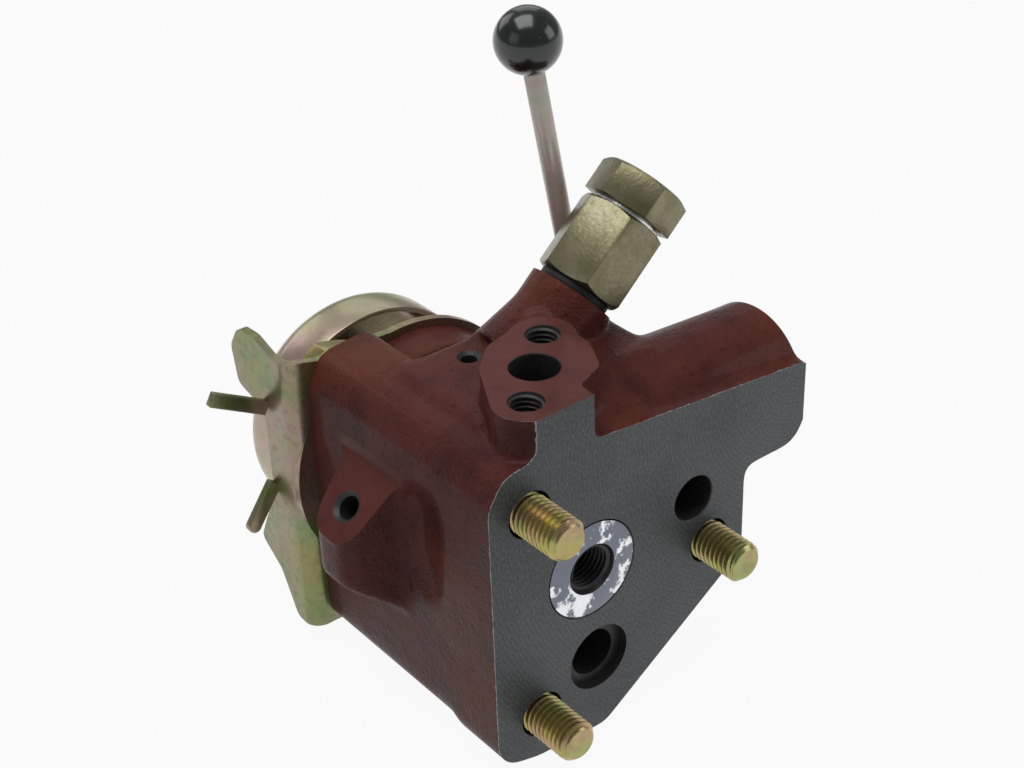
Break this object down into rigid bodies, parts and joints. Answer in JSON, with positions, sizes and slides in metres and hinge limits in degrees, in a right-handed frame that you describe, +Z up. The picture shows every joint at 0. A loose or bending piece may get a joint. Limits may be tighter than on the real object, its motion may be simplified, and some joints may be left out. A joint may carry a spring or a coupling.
{
  "type": "hydraulic damper valve",
  "caption": "Cast hydraulic damper valve with a machined mounting face, studs, a spring-loaded plunger, a hand lever and a capped hex adapter.",
  "frame": {"origin": "the plunger's axis at the machined mounting face", "axes": "+X along the mounting face towards the spool arm, +Y back from the face along the plunger, +Z up towards the pad and the lever"},
  "size_m": [0.137, 0.1505, 0.1866],
  "materials": {
    "red_casting": "oxide red paint on rough cast iron, fairly glossy",
    "zinc_yellow": "yellow-green passivated zinc plating, faintly iridescent",
    "ground_steel": "bright ground steel",
    "black_plastic": "gloss black moulded ball",
    "black_rubber": "black seal ring",
    "bright_washer": "bright soft metal sealing washer"
  },
  "bodies": {
    "valve": {"body": "red_casting", "bolts_long": "zinc_yellow", "bolt_short": "zinc_yellow", "bolt_washers": "zinc_yellow", "bracket": "zinc_yellow", "adapter": "zinc_yellow", "seal_ring": "black_rubber", "seal_washer": "bright_washer", "cap_plug": "zinc_yellow", "arm_plug": "zinc_yellow"},
    "plunger": {"plunger": "ground_steel", "spring_cup": "zinc_yellow", "cup_spring": "ground_steel", "cup_washer": "zinc_yellow", "cup_nut": "zinc_yellow"},
    "lever": {"lever_shaft": "ground_steel", "lever_hub": "zinc_yellow", "clamp_screw": "zinc_yellow", "lever_rod": "zinc_yellow", "ball_knob": "black_plastic"}
  },
  "joints": [
    {"name": "plunger_slide", "type": "slide", "parent": "valve", "child": "plunger", "axis": [0, -1, 0], "range_m": [0, 0.005], "stiffness_N_per_m": 4000, "springref_m": -0.005},
    {"name": "lever_turn", "type": "hinge", "parent": "valve", "child": "lever", "pos_m": [0.0548, 0.0663, 0.017], "axis": [0, 1, 0], "range_deg": [-30, 30]}
  ]
}
